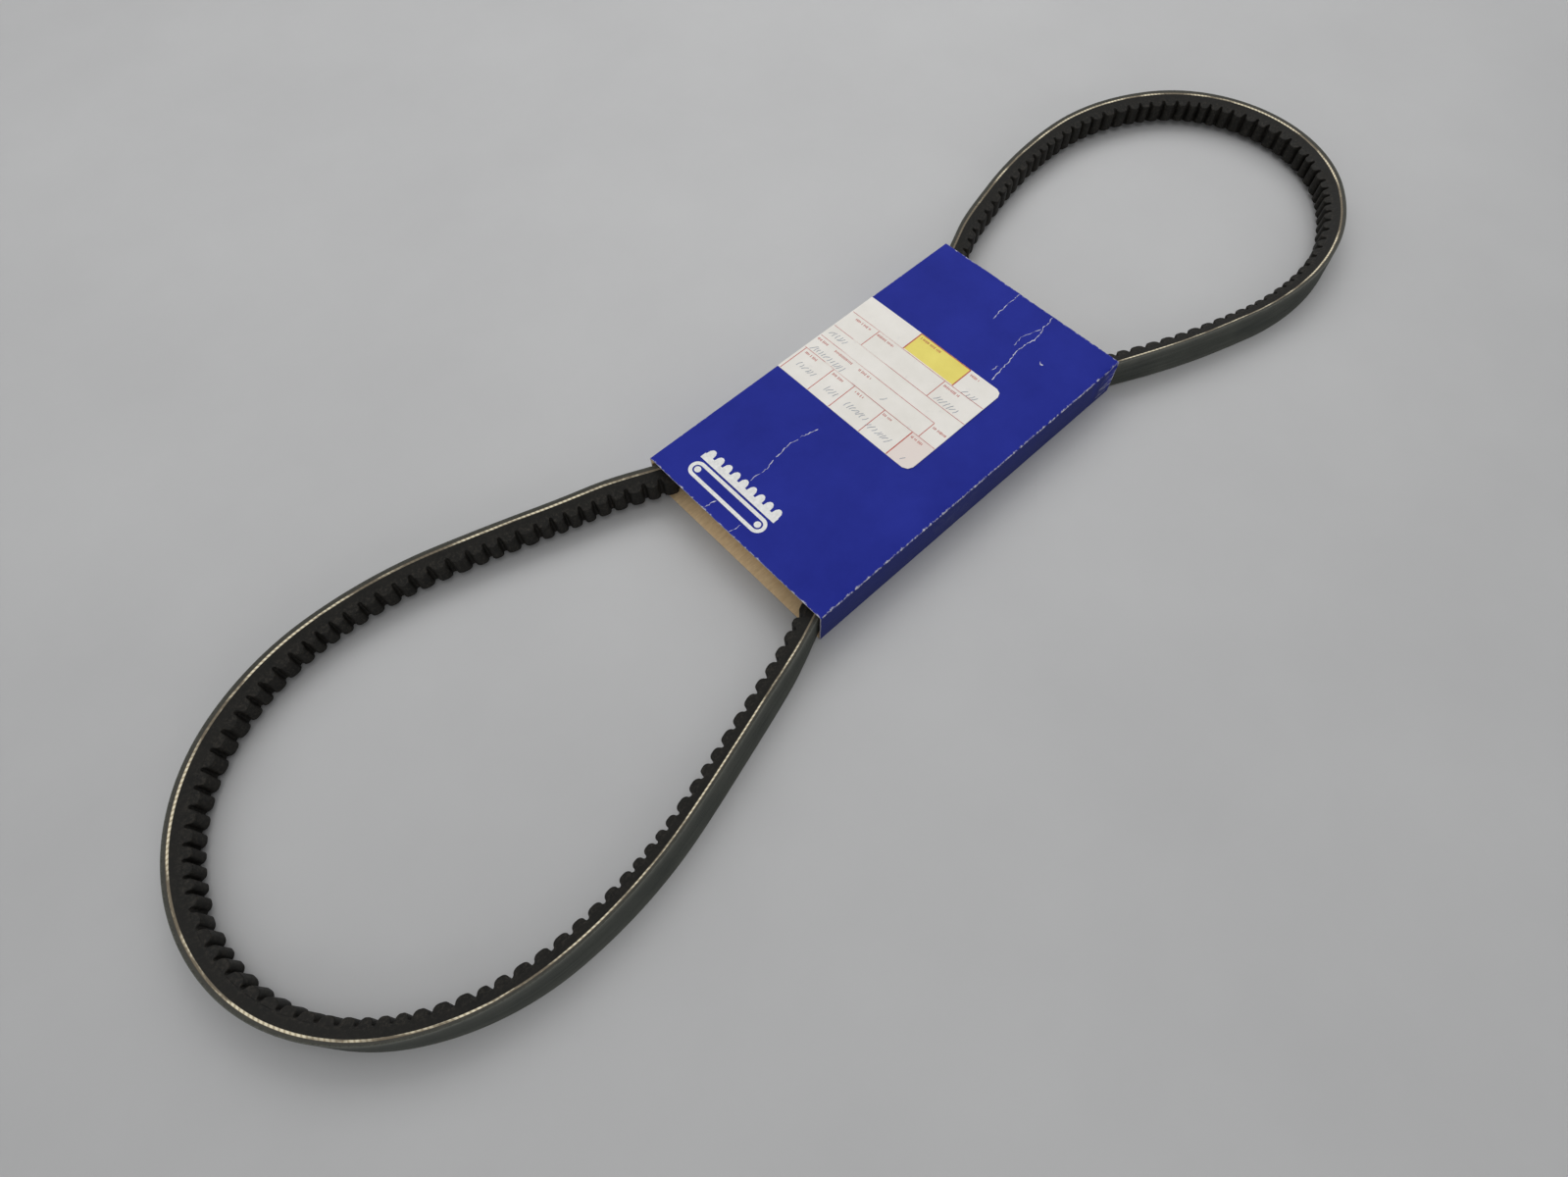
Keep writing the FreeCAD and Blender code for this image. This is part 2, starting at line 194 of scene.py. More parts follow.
def node_names(length_name, body, layer):
    """The frame's nodes of one layer that this length covers on this body."""
    strands = {"near_waist": "near_strand", "far_waist": "far_strand"}
    if body == "belt_waist":
        return [strands[length_name.split("_loop_")[1]] + "_" + layer]
    return [body + "_" + layer]


# ---- Belt: back cloth ---------------------------------------------------------------------------
# The flat outer face of the belt is a rubbered fabric, 0.6 mm thick, with its raw edge showing on both
# flanks. It is dark green-grey, with a paler streak along each edge, partly wear and partly a painted
# highlight where the rounded edge catches the light. It is bonded to the cushion.
BELT_WIDTH = 13.0 * MM
CLOTH_DEPTH = 0.6 * MM
FLANK_LEAN = math.tan(math.radians(18))      # each raw side leans in towards the cogs
FLOOR_IN_SLEEVE = 0.6 * MM                   # the belt stands on the card inside the sleeve
PIECE_STEP = 2.0 * MM                        # the bands are divided about this often along the belt
# The belt doesn't stand quite upright. Each entry is a distance round the belt, and how far its lower and
# its upper edge stand in from the line there, all in millimetres. LEAN_SPREAD smooths the steps between them.
LEANS = np.array((
    (168, 0, 0), (180, -1.0, -0.3), (205, -1.6, 0), (225, -0.8, 1.2), (248, 0.8, 2.8), (270, 0.6, 1.9),
    (300, 0, 0.3), (315, 0, 0), (565, 0, 0), (578, -1.2, -1.2), (588, -1.2, -1.2), (599, 0, 0), (773, 0, 0),
    (784, -1.2, -1.2), (793, -0.8, -0.8), (806, 0, 0), (1045, 0, 0), (1090, 0, 1.2), (1135, 0.2, 2.5),
    (1180, 0.4, 2.9), (1225, 0.3, 2.5), (1248, -0.4, 1.8), (1261, -1.0, 0.4), (1272, 0, 0)))
LEAN_SPREAD = (-8, -4, 0, 4, 8)


def strip(name, shallow, deep, length, edge):
    """A straight band of the belt: a bar with both flanks planed to a slope and its back edges rounded."""
    bpy.ops.object.select_all(action="DESELECT")
    bpy.ops.mesh.primitive_cube_add(size=1, location=(length / 2, (shallow + deep) / 2, BELT_WIDTH / 2))
    piece = bpy.context.object
    piece.name = name
    piece.scale = (length, deep - shallow, BELT_WIDTH)
    bpy.ops.object.transform_apply(location=True, rotation=False, scale=True)
    bpy.ops.object.mode_set(mode="EDIT")
    plane_both_flanks()
    if edge:
        select_edges(piece, lambda a, b: abs(a.y - shallow) < 1e-6 and abs(b.y - shallow) < 1e-6
                     and abs(a.x - b.x) > length / 2)
        bpy.ops.mesh.bevel(offset=edge, segments=2, affect="EDGES")
    select_edges(piece, lambda a, b: abs(a.x - b.x) > length / 2)
    bpy.ops.mesh.subdivide(number_cuts=min(100, round(length / PIECE_STEP)))
    bpy.ops.object.mode_set(mode="OBJECT")
    return piece


def plane_both_flanks():
    """Cuts the mesh being edited down to the belt's two sloping flanks."""
    for height, way in ((BELT_WIDTH, 1), (0, -1)):
        bpy.ops.mesh.select_all(action="SELECT")
        bpy.ops.mesh.bisect(plane_co=(0, 0, height), plane_no=(0, FLANK_LEAN, way),
                            use_fill=True, clear_outer=True)


def select_edges(piece, wanted):
    """Selects only the edges whose two ends pass the test."""
    bpy.ops.mesh.select_mode(type="EDGE")
    bpy.ops.mesh.select_all(action="DESELECT")
    mesh = bmesh.from_edit_mesh(piece.data)
    for edge in mesh.edges:
        if wanted(edge.verts[0].co, edge.verts[1].co):
            edge.select_set(True)
    mesh.select_flush_mode()
    bmesh.update_edit_mesh(piece.data)


def lay_on_path(piece, start):
    """Maps the straight band with distances and depths, then bends it round the belt's line."""
    mesh = piece.data
    points = np.empty(len(mesh.vertices) * 3)
    mesh.vertices.foreach_get("co", points)
    points = points.reshape(-1, 3)
    corners = np.empty(len(mesh.loops), int)
    mesh.loops.foreach_get("vertex_index", corners)
    for layer in list(mesh.uv_layers):
        mesh.uv_layers.remove(layer)
    run_map = mesh.uv_layers.new(name="belt_run")
    run_map.data.foreach_set("uv", (points[corners, :2] + (start, 0)).ravel())
    run, depth, height = points[:, 0] + start, points[:, 1], points[:, 2]
    places = (run % BELT_LENGTH) / MM + np.array(LEAN_SPREAD)[:, None]
    lower, upper = (np.interp(places, LEANS[:, 0], LEANS[:, k]).mean(0) * MM for k in (1, 2))
    tilt = np.arcsin((upper - lower) / BELT_WIDTH)
    ground = on_belt(run, lower + depth * np.cos(tilt) + height * np.sin(tilt))
    outside = np.clip((np.abs(ground[:, 0]) - MOUTH[0]) / (40 * MM), 0, 1)
    rise = FLOOR_IN_SLEEVE * (1 - outside ** 2 * (3 - 2 * outside))
    laid = np.column_stack([ground, height * np.cos(tilt) - depth * np.sin(tilt) + rise])
    mesh.vertices.foreach_set("co", laid.ravel())
    mesh.update()


def fix_to_frame(piece, length, layer):
    """Names a finished length of one layer, fixes it to its body if it rides on one, and hides the frame's
    nodes that it covers.
    """
    name, _, _, before, after, bend, spread = length
    piece.name = name + "_" + layer
    piece.data.name = piece.name
    if before == after:
        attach(piece, before)
    else:
        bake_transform(piece)
    for body in {before, after}:
        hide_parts(*node_names(name, body, layer))


def make_layer(layer, shallow, deep, edge, material):
    """Makes one plain layer of the belt between two depths, length by length."""
    for length in LENGTHS:
        band = strip(layer, shallow, deep, length[2] - length[1], edge)
        lay_on_path(band, length[1])
        band.data.materials.append(material)
        fix_to_frame(band, length, layer)


def new_material(name):
    made = bpy.data.materials.new(name)
    made.use_nodes = True
    return made, made.node_tree, made.node_tree.nodes["Principled BSDF"]


def node(tree, kind, options=None, **sockets):
    """Adds a shader node. Each socket takes a value or another node's output. in0, in1 go by number."""
    made = tree.nodes.new("ShaderNode" + kind)
    for key, value in (options or {}).items():
        setattr(made, key, value)
    for key, value in sockets.items():
        socket = made.inputs[int(key[2:])] if key[:2] == "in" and key[2:].isdigit() else made.inputs[key]
        if isinstance(value, bpy.types.NodeSocket):
            tree.links.new(value, socket)
        else:
            socket.default_value = value
    return made


def maths(tree, operation, a, b=0.0, c=0.0):
    return node(tree, "Math", {"operation": operation}, in0=a, in1=b, in2=c).outputs[0]


def ramp(tree, factor, *stops):
    """A colour ramp. Each stop is a position and a grey level or a colour."""
    made = node(tree, "ValToRGB", in0=factor)
    elements = made.color_ramp.elements
    while len(elements) < len(stops):
        elements.new(0.5)
    for element, (position, colour) in zip(elements, stops):
        element.position = position
        element.color = (*colour, 1) if hasattr(colour, "__len__") else (colour, colour, colour, 1)
    return made.outputs["Color"]


def blend_colours(tree, factor, a, b):
    made = node(tree, "Mix", {"data_type": "RGBA", "blend_type": "MIX"})
    for socket, value in ((made.inputs[0], factor), (made.inputs[6], a), (made.inputs[7], b)):
        if isinstance(value, bpy.types.NodeSocket):
            tree.links.new(value, socket)
        else:
            socket.default_value = (*value, 1) if hasattr(value, "__len__") else value
    return made.outputs[2]


def noise(tree, vector, scale, detail=4.0, rough=0.6):
    return node(tree, "TexNoise", Vector=vector, Scale=scale, Detail=detail, Roughness=rough).outputs["Fac"]


def relief(tree, shader, pattern, strength, depth):
    """Gives a surface a fine relief, this many metres deep."""
    bump = node(tree, "Bump", Strength=strength, Distance=depth, Height=pattern)
    tree.links.new(bump.outputs[0], shader.inputs["Normal"])


def belt_coordinates(tree):
    """Distance along the belt, depth under its back and height, and the three together as a vector."""
    run_map = node(tree, "UVMap", {"uv_map": "belt_run"}).outputs["UV"]
    run = node(tree, "SeparateXYZ", Vector=run_map)
    place = node(tree, "SeparateXYZ", Vector=node(tree, "TexCoord").outputs["Object"])
    together = node(tree, "CombineXYZ", X=run.outputs["X"], Y=run.outputs["Y"], Z=place.outputs["Z"])
    return run.outputs["X"], run.outputs["Y"], place.outputs["Z"], together.outputs[0]


back_cloth_material, tree, shader = new_material("back cloth")
run, depth, height, straight = belt_coordinates(tree)
blotches = noise(tree, straight, 60.0)
streaks = noise(tree, node(tree, "Mapping", Vector=straight, Scale=(30, 1, 900)).outputs[0], 1.0)
warp = maths(tree, "SINE", maths(tree, "MULTIPLY", run, 6500.0))
weft = maths(tree, "SINE", maths(tree, "MULTIPLY", height, 6500.0))
weave = maths(tree, "MULTIPLY", warp, weft)
cloth_colour = ramp(tree, blotches, (0.3, (0.026, 0.030, 0.026)), (0.7, (0.052, 0.056, 0.048)))
cloth_colour = blend_colours(tree, ramp(tree, streaks, (0.45, 0.0), (0.75, 0.5)), cloth_colour,
                             (0.085, 0.088, 0.078))
# Paler band along both edges of the back: partly wear, partly a painted highlight of the rounded edge.
from_top = maths(tree, "SUBTRACT", BELT_WIDTH, height)
from_edge = maths(tree, "MINIMUM", from_top, maths(tree, "ADD", height, 0.3 * MM))
wobble = maths(tree, "MULTIPLY", maths(tree, "SUBTRACT", noise(tree, straight, 220.0), 0.5), 2.4 * MM)
wear_and_highlight = ramp(tree, maths(tree, "MULTIPLY", maths(tree, "ADD", from_edge, wobble), 125.0),
            (0.0, 0.42), (0.08, 0.32), (0.2, 0.14), (0.45, 0.05), (0.75, 0.0))
cloth_colour = blend_colours(tree, wear_and_highlight, cloth_colour, (0.155, 0.155, 0.138))
edge_face = ramp(tree, maths(tree, "MULTIPLY", depth, 1000.0), (0.15, 0.0), (0.4, 1.0))
frayed = noise(tree, straight, 1500.0, 3.0)
raw_edge = ramp(tree, frayed, (0.35, (0.036, 0.038, 0.030)), (0.7, (0.085, 0.084, 0.070)))
cloth_colour = blend_colours(tree, edge_face, cloth_colour, raw_edge)
tree.links.new(cloth_colour, shader.inputs["Base Color"])
tree.links.new(ramp(tree, blotches, (0.3, 0.62), (0.7, 0.85)), shader.inputs["Roughness"])
fuzz = maths(tree, "ADD", maths(tree, "MULTIPLY", weave, 0.4), noise(tree, straight, 2500.0, 2.0))
relief(tree, shader, fuzz, 0.35, 0.0002)
shader.inputs["Specular IOR Level"].default_value = 0.2

make_layer("back_cloth", 0.0, CLOTH_DEPTH, 0.18 * MM, back_cloth_material)

# ---- Belt: cushion rubber -----------------------------------------------------------------------
# A band of dark rubber under the back cloth, moulded to it, from 0.6 to 1.35 mm deep. Only its cut edges
# show, on the two flanks, as a dull dark stripe between the cloth and the cords.
CUSHION_DEPTH = 1.35 * MM
cushion_material, tree, shader = new_material("cushion rubber")
run, depth, height, straight = belt_coordinates(tree)
grime = noise(tree, straight, 180.0)
rubber = ramp(tree, grime, (0.3, (0.034, 0.034, 0.028)), (0.7, (0.060, 0.058, 0.048)))
tree.links.new(rubber, shader.inputs["Base Color"])
tree.links.new(ramp(tree, grime, (0.3, 0.6), (0.7, 0.8)), shader.inputs["Roughness"])
shader.inputs["Specular IOR Level"].default_value = 0.3
cut_lines = noise(tree, node(tree, "Mapping", Vector=straight, Scale=(40, 2500, 2500)).outputs[0], 1.0, 3.0)
relief(tree, shader, cut_lines, 0.3, 0.0001)

make_layer("cushion_rubber", CLOTH_DEPTH, CUSHION_DEPTH, 0, cushion_material)

# ---- Belt: tension cords ------------------------------------------------------------------------
# Twisted polyester cords lie side by side along the belt in brown gum, 1.35 to 2.15 mm deep. The outer cord
# is cut through on each flank, and shows as a cream line, broken into dashes where rubber covers it.
CORD_DEPTH = 2.15 * MM
cord_material, tree, shader = new_material("cream cords")
run, depth, height, straight = belt_coordinates(tree)
slant = maths(tree, "ADD", maths(tree, "MULTIPLY", run, 3600.0), maths(tree, "MULTIPLY", depth, 2600.0))
twist = maths(tree, "MULTIPLY_ADD", maths(tree, "SINE", slant), 0.5, 0.5)
patches = noise(tree, node(tree, "Mapping", Vector=straight, Scale=(55, 300, 300)).outputs[0], 1.0, 3.0)
covered = ramp(tree, patches, (0.46, 0.0), (0.58, 1.0))
cream = ramp(tree, twist, (0.0, (0.46, 0.39, 0.26)), (0.6, (0.80, 0.72, 0.53)))
from_cord = maths(tree, "ABSOLUTE", maths(tree, "SUBTRACT", maths(tree, "MULTIPLY", depth, 1000.0), 1.78))
band_edge = ramp(tree, from_cord, (0.28, 0.0), (0.40, 1.0))
dirt = blend_colours(tree, covered, cream, (0.17, 0.14, 0.095))
gum = ramp(tree, maths(tree, "MULTIPLY", depth, 100.0), (0.16, (0.085, 0.060, 0.036)),
           (0.19, (0.016, 0.014, 0.012)))
tree.links.new(blend_colours(tree, band_edge, dirt, gum), shader.inputs["Base Color"])
shader.inputs["Roughness"].default_value = 0.8
relief(tree, shader, twist, 0.6, 0.00025)

make_layer("tension_cords", CUSHION_DEPTH, CORD_DEPTH, 0, cord_material)

# ---- Belt: cogged rubber ------------------------------------------------------------------------
# The inner part of the belt is moulded black rubber: a continuous land, then round-topped cogs with
# narrow notches between them at an uneven pitch, which lets the thick belt bend. The cogs are a little dusty.
NOTCH_FLOOR = 5.3 * MM
CREST = 8.0 * MM
MEAN_PITCH = float(np.mean(COG_PITCHES)) * MM
FLOOR_RADIUS = 0.7 * MM
HALF_NOTCH = 0.8 * MM
CREST_ROUNDING = 1.85 * MM


def grow_crest(piece, depth, half_width):
    """Extrudes the cog's inner face to this depth and makes it this wide."""
    bpy.ops.mesh.extrude_region_move(TRANSFORM_OT_translate={"value": (0, 0, 0)})
    mesh = bmesh.from_edit_mesh(piece.data)
    for vertex in mesh.verts:
        if vertex.select:
            vertex.co.y = depth
            vertex.co.x = math.copysign(half_width, vertex.co.x)
    bmesh.update_edit_mesh(piece.data)


bpy.ops.object.select_all(action="DESELECT")
bpy.ops.mesh.primitive_cube_add(size=1, location=(0, NOTCH_FLOOR, BELT_WIDTH / 2))
cog = bpy.context.object
cog.scale = (MEAN_PITCH, 0.02 * MM, BELT_WIDTH)
bpy.ops.object.transform_apply(location=True, rotation=False, scale=True)
bpy.ops.object.mode_set(mode="EDIT")
bpy.ops.mesh.select_mode(type="FACE")
bpy.ops.mesh.select_all(action="DESELECT")
mesh = bmesh.from_edit_mesh(cog.data)
for face in mesh.faces:
    face.select_set(face.normal.y > 0.9)
bmesh.update_edit_mesh(cog.data)
for angle in (math.radians(30), math.radians(60), math.radians(90)):
    grow_crest(cog, NOTCH_FLOOR + FLOOR_RADIUS * (1 - math.cos(angle)) + 0.01 * MM,
               MEAN_PITCH / 2 - FLOOR_RADIUS * math.sin(angle))
grow_crest(cog, CREST, MEAN_PITCH / 2 - HALF_NOTCH)
select_edges(cog, lambda a, b: abs(a.y - CREST) < 1e-6 and abs(b.y - CREST) < 1e-6 and abs(a.z - b.z) > 1e-3)
bpy.ops.mesh.bevel(offset=CREST_ROUNDING, segments=5, affect="EDGES")
plane_both_flanks()
select_edges(cog, lambda a, b: min(a.y, b.y) > NOTCH_FLOOR + 0.3 * MM
             and (min(a.z, b.z) > BELT_WIDTH / 2 or max(a.z, b.z) < BELT_WIDTH / 2))
bpy.ops.mesh.bevel(offset=0.18 * MM, segments=1, affect="EDGES")
bpy.ops.object.mode_set(mode="OBJECT")
# A few cogs are chipped or stand low, as moulded. For each one, its height and its width.
ODD_COGS = {12: (0.9, 1.0), 47: (0.95, 0.96), 83: (0.86, 0.97), 121: (0.93, 1.0), 159: (0.72, 0.9),
            176: (0.9, 0.95)}

cogged_material, tree, shader = new_material("cogged rubber")
run, depth, height, straight = belt_coordinates(tree)
grime = noise(tree, straight, 140.0)
rubber = ramp(tree, grime, (0.3, (0.006, 0.006, 0.005)), (0.7, (0.015, 0.014, 0.012)))
specks = ramp(tree, noise(tree, straight, 900.0, 5.0, 0.7), (0.48, 0.0), (0.75, 1.0))
dusty = ramp(tree, maths(tree, "MULTIPLY", depth, 100.0), (0.40, 0.2), (0.52, 0.6), (0.80, 0.6))
dust = maths(tree, "MULTIPLY", specks, dusty)
tree.links.new(blend_colours(tree, dust, rubber, (0.060, 0.052, 0.042)), shader.inputs["Base Color"])
tree.links.new(ramp(tree, grime, (0.3, 0.46), (0.7, 0.68)), shader.inputs["Roughness"])
shader.inputs["Specular IOR Level"].default_value = 0.14
grain = maths(tree, "ADD", noise(tree, straight, 1800.0, 3.0), noise(tree, straight, 350.0, 2.0))
relief(tree, shader, grain, 0.3, 0.0002)

for length in LENGTHS:
    start, end = length[1], length[2]
    land = strip("land", CORD_DEPTH, NOTCH_FLOOR, end - start, 0)
    parts = [land]
    laps = np.concatenate([NOTCHES - BELT_LENGTH, NOTCHES, NOTCHES + BELT_LENGTH, [2 * BELT_LENGTH]])
    for k in range(len(laps) - 1):
        if start - 1e-5 < laps[k] < end - 1e-5:
            tall, wide = ODD_COGS.get(k % len(NOTCHES), (1.0, 1.0))
            copied = cog.copy()
            copied.data = cog.data.copy()
            bpy.context.collection.objects.link(copied)
            pitch = laps[k + 1] - laps[k]
            for vertex in copied.data.vertices:
                narrowed = wide if vertex.co.y > NOTCH_FLOOR + 0.75 * MM else 1.0
                vertex.co.x = (vertex.co.x / MEAN_PITCH * narrowed + 0.5) * pitch + laps[k] - start
                vertex.co.y = NOTCH_FLOOR + (vertex.co.y - NOTCH_FLOOR) * tall
            parts.append(copied)
    bpy.ops.object.select_all(action="DESELECT")
    for part in parts:
        part.select_set(True)
    bpy.context.view_layer.objects.active = land
    bpy.ops.object.join()
    lay_on_path(land, start)
    land.data.materials.clear()
    land.data.materials.append(cogged_material)
    bpy.ops.object.shade_smooth_by_angle(angle=math.radians(35))
    fix_to_frame(land, length, "cogged_rubber")
bpy.data.objects.remove(cog)

# ---- Card sleeve --------------------------------------------------------------------------------
# One sheet of 0.45 mm folding card makes a flat tube, open at both ends, that holds the belt's waist.
# It is printed satin blue outside, with painted shade darkening the near wall, and is bare tan kraft inside,
# with pale cut edges and white worn folds.
SLEEVE = np.array((161.0, 91.0, 16.8)) * MM
CARD = 0.45 * MM


def card_lift(x, y):
    """How far the top panel stands proud of flat, or sags, at this place."""
    u, v = x / SLEEVE[0] * 2, y / SLEEVE[1] * 2
    inside = max(0.0, 1 - v * v)
    return (0.22 * math.sin(2.1 * u + 0.6) * inside - 0.12 * math.cos(3.3 * v + u) * inside) * MM


bpy.ops.object.select_all(action="DESELECT")
bpy.ops.mesh.primitive_cube_add(size=1, location=(0, 0, SLEEVE[2] / 2))
sleeve = bpy.context.object
sleeve.name = "card_sleeve"
sleeve.scale = SLEEVE
bpy.ops.object.transform_apply(location=True, rotation=False, scale=True)
bpy.ops.object.mode_set(mode="EDIT")
bpy.ops.mesh.select_mode(type="FACE")
bpy.ops.mesh.select_all(action="DESELECT")
mesh = bmesh.from_edit_mesh(sleeve.data)
for face in mesh.faces:
    face.select_set(abs(face.normal.x) > 0.9)
bmesh.update_edit_mesh(sleeve.data)
bpy.ops.mesh.delete(type="ONLY_FACE")
select_edges(sleeve, lambda a, b: abs(a.x - b.x) > 0.1)
bpy.ops.mesh.bevel(offset=0.55 * MM, segments=3, affect="EDGES")
select_edges(sleeve, lambda a, b: abs(a.x - b.x) > 0.1)
bpy.ops.mesh.subdivide(number_cuts=60)
select_edges(sleeve, lambda a, b: abs(a.y - b.y) > 0.05)
bpy.ops.mesh.subdivide(number_cuts=30)
bpy.ops.object.mode_set(mode="OBJECT")
crumple = random.Random(4)
for vertex in sleeve.data.vertices:
    x, y, z = vertex.co
    if z > SLEEVE[2] - 0.1 * MM and abs(y) < SLEEVE[1] / 2 - 0.6 * MM:
        vertex.co.z += card_lift(x, y)
    near_corner = max(0.0, 1 - math.hypot(x - SLEEVE[0] / 2, (y + SLEEVE[1] / 2) * 1.6) / (16 * MM))
    if near_corner > 0 and z > 2 * MM:
        vertex.co.y += near_corner * (crumple.random() * 0.7 - 0.1) * MM
        vertex.co.z -= near_corner * crumple.random() * 0.6 * MM


def box_mask(tree, place, low, high, soft, waver=0.0):
    """1 inside a box of object coordinates and 0 outside, with a soft and, if asked, an uneven border."""
    result = 1.0
    for k, axis in enumerate("XYZ"):
        if low[k] is None:
            continue
        centre, half = (low[k] + high[k]) / 2, (high[k] - low[k]) / 2
        from_centre = maths(tree, "ABSOLUTE", maths(tree, "SUBTRACT", place.outputs[axis], centre))
        away = maths(tree, "SUBTRACT", half, from_centre)
        if waver:
            away = maths(tree, "ADD", away, waver)
        inside = node(tree, "MapRange", Value=away, in1=0.0, in2=soft).outputs[0]
        result = maths(tree, "MULTIPLY", result, inside)
    return result


blue_material, tree, shader = new_material("blue printed card")
coordinates = node(tree, "TexCoord").outputs["Object"]
place = node(tree, "SeparateXYZ", Vector=coordinates)
mottle = noise(tree, coordinates, 45.0)
blue = ramp(tree, mottle, (0.3, (0.012, 0.020, 0.235)), (0.7, (0.019, 0.029, 0.285)))
half_length, half_width, top = SLEEVE[0] / 2, SLEEVE[1] / 2, SLEEVE[2]
torn = noise(tree, coordinates, 420.0, 5.0, 0.75)
ragged = maths(tree, "MULTIPLY", maths(tree, "SUBTRACT", torn, 0.55), 3.2 * MM)
fold_wear = maths(tree, "MAXIMUM",
                  box_mask(tree, place, (None, -half_width - 1 * MM, top - 0.75 * MM),
                           (None, -half_width + 0.55 * MM, top + 1 * MM), 0.5 * MM, ragged),
                  box_mask(tree, place, (None, half_width - 0.35 * MM, top - 0.5 * MM),
                           (None, half_width + 1 * MM, top + 1 * MM), 0.5 * MM, ragged))
corner_wear = box_mask(tree, place, (half_length - 9 * MM, -half_width - 1 * MM, 2 * MM),
                       (half_length + 3 * MM, -half_width + 0.9 * MM, top + 1 * MM), 1 * MM, ragged)
scraped = node(tree, "Mapping", Vector=coordinates, Scale=(90, 500, 900)).outputs[0]
scrape = noise(tree, scraped, 1.0, 5.0, 0.7)
corner_wear = maths(tree, "MULTIPLY", corner_wear, ramp(tree, scrape, (0.5, 0.0), (0.62, 0.8)))
# Painted shade: the near wall faces away from the light, so its blue is darkened and dulled here.
near_wall = box_mask(tree, place, (None, -half_width - 1 * MM, -1 * MM),
                     (None, -half_width + 0.2 * MM, top - 0.3 * MM), 0.2 * MM)
blue = blend_colours(tree, maths(tree, "MULTIPLY", near_wall, 0.75), blue, (0.022, 0.028, 0.095))
wall_wear = box_mask(tree, place, (-26 * MM, -half_width - 1 * MM, 2 * MM),
                     (0, -half_width + 0.3 * MM, 15 * MM), 3 * MM, ragged)
wall_wear = maths(tree, "MULTIPLY", wall_wear, ramp(tree, scrape, (0.35, 0.25), (0.65, 0.85)))
blue = blend_colours(tree, wall_wear, blue, (0.16, 0.17, 0.23))
wear_and_highlight = maths(tree, "MAXIMUM", fold_wear, corner_wear)
small_mouth = box_mask(tree, place, (half_length - 0.35 * MM, None, None), (half_length + 1 * MM, None, None),
                       0.4 * MM, ragged)
big_mouth = box_mask(tree, place, (-half_length - 1 * MM, None, None), (-half_length + 0.35 * MM, None, None),
                     0.4 * MM, ragged)
mouth_scuff = maths(tree, "MAXIMUM", small_mouth, big_mouth)
wear_and_highlight = maths(tree, "MAXIMUM", wear_and_highlight, maths(tree, "MULTIPLY", mouth_scuff, 0.8))
tree.links.new(blend_colours(tree, wear_and_highlight, blue, (0.60, 0.59, 0.62)), shader.inputs["Base Color"])
tree.links.new(ramp(tree, mottle, (0.3, 0.5), (0.7, 0.6)), shader.inputs["Roughness"])
shader.inputs["Specular IOR Level"].default_value = 0.06
waves = maths(tree, "MULTIPLY", noise(tree, coordinates, 60.0), 2.0)
pulp = maths(tree, "ADD", noise(tree, coordinates, 900.0, 3.0), waves)
relief(tree, shader, pulp, 0.25, 0.0002)

kraft_material, tree, shader = new_material("tan kraft inside")
coordinates = node(tree, "TexCoord").outputs["Object"]
stretched = node(tree, "Mapping", Vector=coordinates, Scale=(260, 900, 900)).outputs[0]
fibres = noise(tree, stretched, 1.0, 6.0, 0.7)
kraft = ramp(tree, fibres, (0.3, (0.74, 0.54, 0.30)), (0.7, (0.92, 0.71, 0.44)))
tree.links.new(kraft, shader.inputs["Base Color"])
shader.inputs["Roughness"].default_value = 0.85
relief(tree, shader, fibres, 0.4, 0.0001)

edge_material, tree, shader = new_material("cut card edge")
coordinates = node(tree, "TexCoord").outputs["Object"]
layers = noise(tree, node(tree, "Mapping", Vector=coordinates, Scale=(500, 300, 6000)).outputs[0], 1.0, 3.0)
ply = ramp(tree, layers, (0.35, (0.20, 0.20, 0.30)), (0.6, (0.52, 0.50, 0.50)))
tree.links.new(ply, shader.inputs["Base Color"])
shader.inputs["Roughness"].default_value = 0.9
for material in (blue_material, kraft_material, edge_material):
    sleeve.data.materials.append(material)
thickness = sleeve.modifiers.new("card", "SOLIDIFY")
thickness.thickness = CARD
thickness.offset = -1
thickness.use_even_offset = True
thickness.material_offset = 1
thickness.material_offset_rim = 2
bpy.ops.object.modifier_apply(modifier=thickness.name)
bpy.ops.object.shade_smooth_by_angle(angle=math.radians(40))
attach(sleeve, "sleeve")
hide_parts("sleeve_top_panel", "sleeve_bottom_panel", "sleeve_near_wall", "sleeve_far_wall")

# ---- Glue flap ----------------------------------------------------------------------------------
# The last flap of the card blank is folded in from the far wall and glued under the top panel. Its ends
# are cut on a slant. Bare kraft shows on it from inside the tube.
bpy.ops.object.select_all(action="DESELECT")
bpy.ops.mesh.primitive_plane_add(size=1, location=(0, 0, 0))
flap = bpy.context.object
flap.name = "glue_flap"
flap_root = SLEEVE[1] / 2 - CARD
for vertex in flap.data.vertices:
    inner = vertex.co.y < 0
    vertex.co.x = math.copysign((73.0 if inner else 79.0) * MM, vertex.co.x)
    vertex.co.y = flap_root - (13 * MM if inner else 0)
    vertex.co.z = SLEEVE[2] - CARD - 0.02 * MM
bpy.ops.object.mode_set(mode="EDIT")
select_edges(flap, lambda a, b: abs(a.x - b.x) > 0.1)
bpy.ops.mesh.subdivide(number_cuts=40)
select_edges(flap, lambda a, b: abs(a.y - b.y) > 5 * MM)
bpy.ops.mesh.subdivide(number_cuts=5)
bpy.ops.object.mode_set(mode="OBJECT")
for vertex in flap.data.vertices:
    vertex.co.z += card_lift(vertex.co.x, vertex.co.y)
flap.data.materials.append(kraft_material)
flap.data.materials.append(edge_material)
